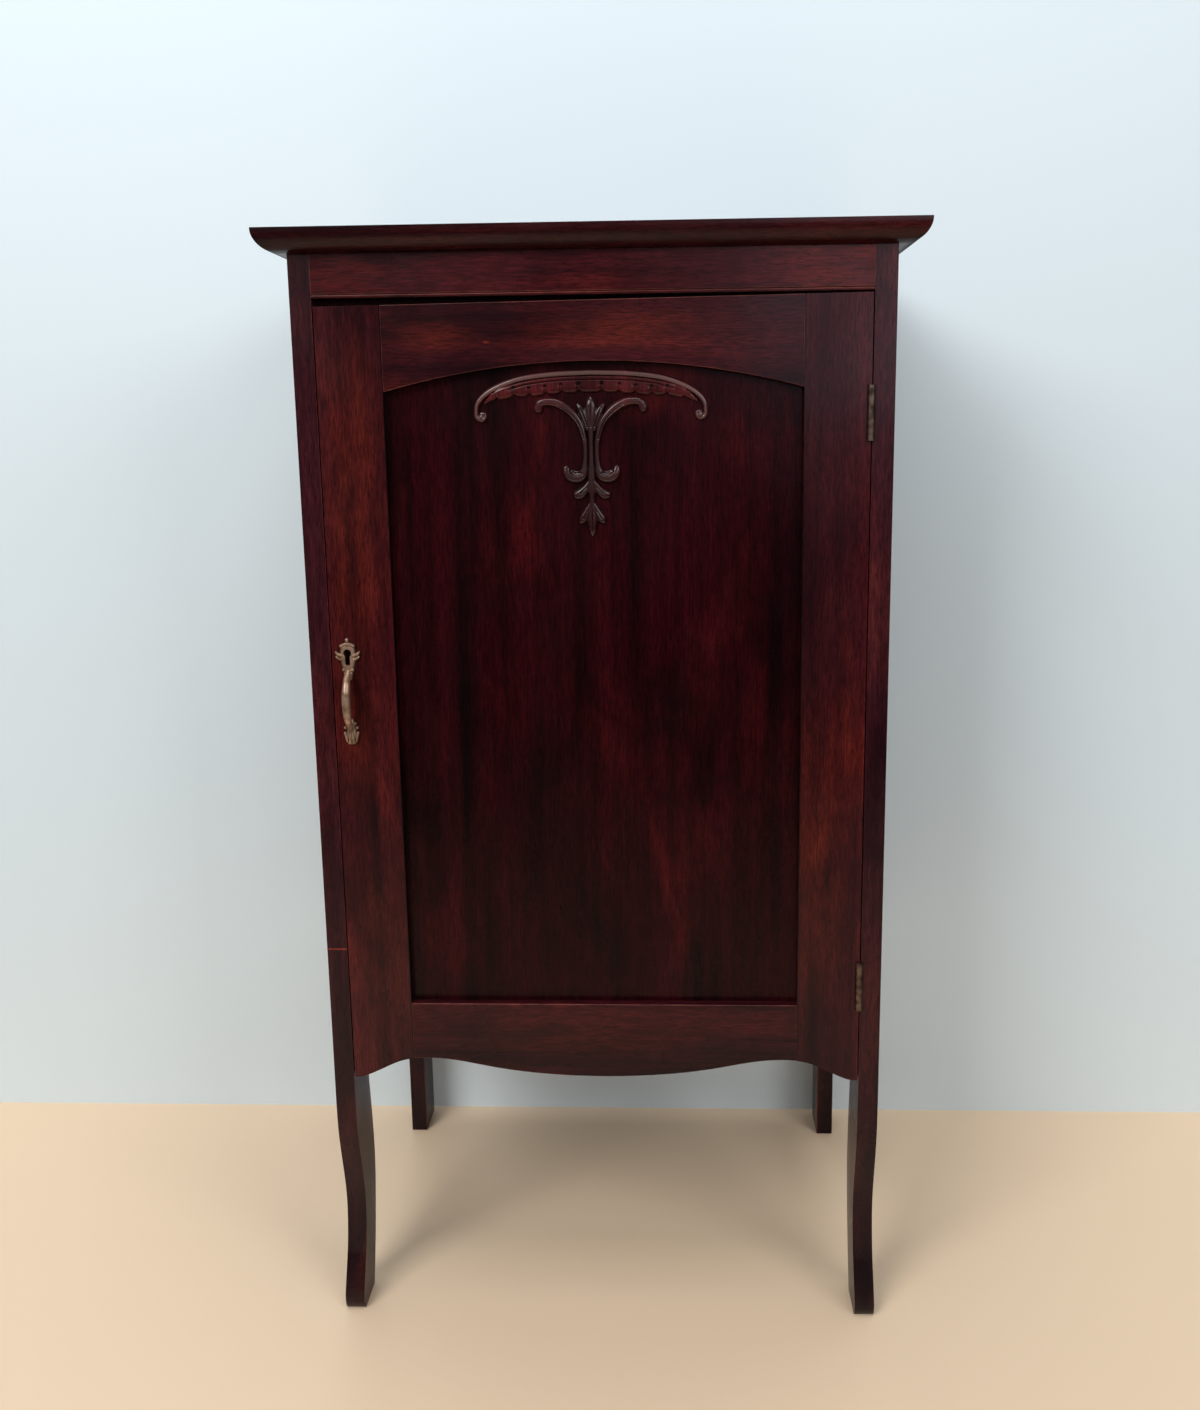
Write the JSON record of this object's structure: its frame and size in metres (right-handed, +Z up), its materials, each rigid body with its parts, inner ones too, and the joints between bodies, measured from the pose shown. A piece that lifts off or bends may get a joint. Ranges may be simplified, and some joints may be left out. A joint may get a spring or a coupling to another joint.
{
  "type": "sheet music cabinet",
  "caption": "Slim wooden cabinet on curved legs, with closely spaced fixed shelves behind one hinged, locking door that has an arched sunk panel and applied carving.",
  "frame": {"origin": "centre of the footprint of the whole cabinet, at floor level", "axes": "+Z up, door faces -Y, +X to the right when facing the door"},
  "size_m": [0.602, 0.355, 1.09],
  "materials": {
    "frame_wood": "semi-gloss polish, dark red-brown",
    "panel_wood": "semi-gloss polish, darker red-brown",
    "carved_wood": "polished, rubbed on the high parts",
    "shelf_wood": "satin",
    "secondary_wood": "unpolished",
    "back_wood": "unpolished",
    "pull_brass": "aged, rubbed on the high parts",
    "hinge_brass": "aged",
    "lock_brass": "dull",
    "steel": "dull"
  },
  "bodies": {
    "carcass": {"back_panel": "back_wood", "back_rail_lower": "secondary_wood", "back_rail_upper": "secondary_wood", "bottom_board": "secondary_wood", "door_stop_left": "secondary_wood", "door_stop_upper": "secondary_wood", "frieze_rail": "frame_wood", "glue_block_left": "secondary_wood", "glue_block_right": "secondary_wood", "hinge_lower_pin": "steel", "hinge_lower_post_leaf": "hinge_brass", "hinge_post_screws": "steel", "hinge_upper_pin": "steel", "hinge_upper_post_leaf": "hinge_brass", "post_front_left": "frame_wood", "post_front_right": "frame_wood", "post_rear_left": "frame_wood", "post_rear_right": "frame_wood", "shelf_1": "shelf_wood", "shelf_2": "shelf_wood", "shelf_3": "shelf_wood", "shelf_4": "shelf_wood", "shelf_5": "shelf_wood", "shelf_6": "shelf_wood", "shelf_7": "shelf_wood", "side_board_left": "frame_wood", "side_board_right": "frame_wood", "strike_plate": "lock_brass", "strike_screws": "steel", "top_board": "frame_wood", "top_cleat_left": "secondary_wood", "top_cleat_right": "secondary_wood", "top_screws": "steel"},
    "door": {"carved_centre": "carved_wood", "carved_crescent": "carved_wood", "carved_scallops": "carved_wood", "door_panel": "panel_wood", "door_pull": "pull_brass", "door_rail_lower": "frame_wood", "door_rail_upper": "frame_wood", "door_stile_left": "frame_wood", "door_stile_right": "frame_wood", "hinge_door_screws": "steel", "hinge_lower_door_leaf": "hinge_brass", "hinge_upper_door_leaf": "hinge_brass", "lock_box": "lock_brass", "lock_plate": "lock_brass", "lock_screws": "steel", "panel_bead_left": "frame_wood", "panel_bead_lower": "frame_wood", "panel_bead_right": "frame_wood", "panel_bead_upper": "frame_wood", "pull_pins": "pull_brass"},
    "lock_bolt": {"lock_bolt": "steel"}
  },
  "joints": [
    {"name": "door_hinge", "type": "hinge", "parent": "carcass", "child": "door", "pos_m": [0.2533, -0.1603, 0.642], "axis": [0, 0, 1], "range_deg": [0, 170]},
    {"name": "lock_bolt_slide", "type": "slide", "parent": "door", "child": "lock_bolt", "axis": [-1, 0, 0], "range_m": [0, 0.007]}
  ]
}
